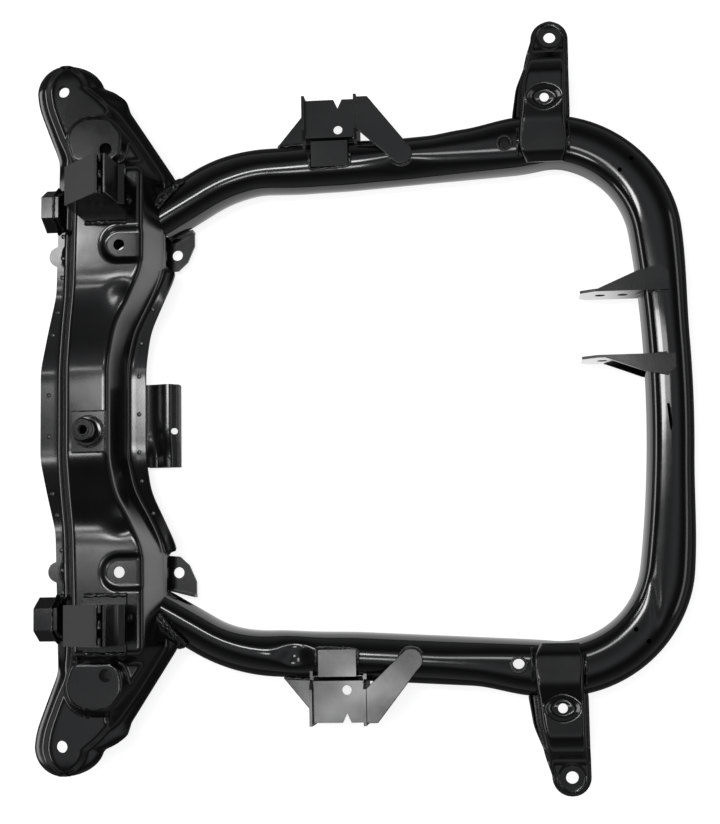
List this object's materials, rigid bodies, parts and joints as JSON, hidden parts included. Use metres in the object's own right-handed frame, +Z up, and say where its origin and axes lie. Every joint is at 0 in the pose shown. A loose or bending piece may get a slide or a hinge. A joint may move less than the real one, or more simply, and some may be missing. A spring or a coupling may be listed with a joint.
{
  "type": "subframe",
  "caption": "Front axle subframe of a small car: pressed steel cross member with wings, bent tube loop, front arms and welded brackets for the suspension and engine mounts, painted gloss black.",
  "frame": {"origin": "on the ground under the middle of the frame's box", "axes": "+X to the front of the tube loop, +Y to the left side, +Z up"},
  "size_m": [0.712, 0.8288, 0.178],
  "materials": {
    "black_paint": "gloss black paint over pressed and welded steel"
  },
  "bodies": {
    "root": {"upper_shell": "black_paint", "lower_shell": "black_paint", "tube_loop": "black_paint", "wing_ring_left": "black_paint", "wing_ring_right": "black_paint", "bush_spacer_left": "black_paint", "bush_spacer_right": "black_paint", "tube_sleeve_left": "black_paint", "tube_sleeve_right": "black_paint", "arm_upper_left": "black_paint", "arm_upper_right": "black_paint", "arm_lower_left": "black_paint", "arm_lower_right": "black_paint", "arm_ring_left": "black_paint", "arm_ring_right": "black_paint", "control_bracket_left": "black_paint", "control_bracket_right": "black_paint", "control_nut_left": "black_paint", "control_nut_right": "black_paint", "control_brace_left": "black_paint", "control_brace_right": "black_paint", "control_gusset_left": "black_paint", "control_gusset_right": "black_paint", "tower_left": "black_paint", "tower_right": "black_paint", "tower_front_left": "black_paint", "tower_front_right": "black_paint", "nose_left": "black_paint", "nose_right": "black_paint", "locating_stud_left": "black_paint", "locating_stud_right": "black_paint", "roll_bar_ear_left": "black_paint", "roll_bar_ear_right": "black_paint", "torque_bracket": "black_paint", "boss_plate": "black_paint", "centre_boss": "black_paint", "ear_outer": "black_paint", "ear_inner": "black_paint"}
  },
  "joints": []
}
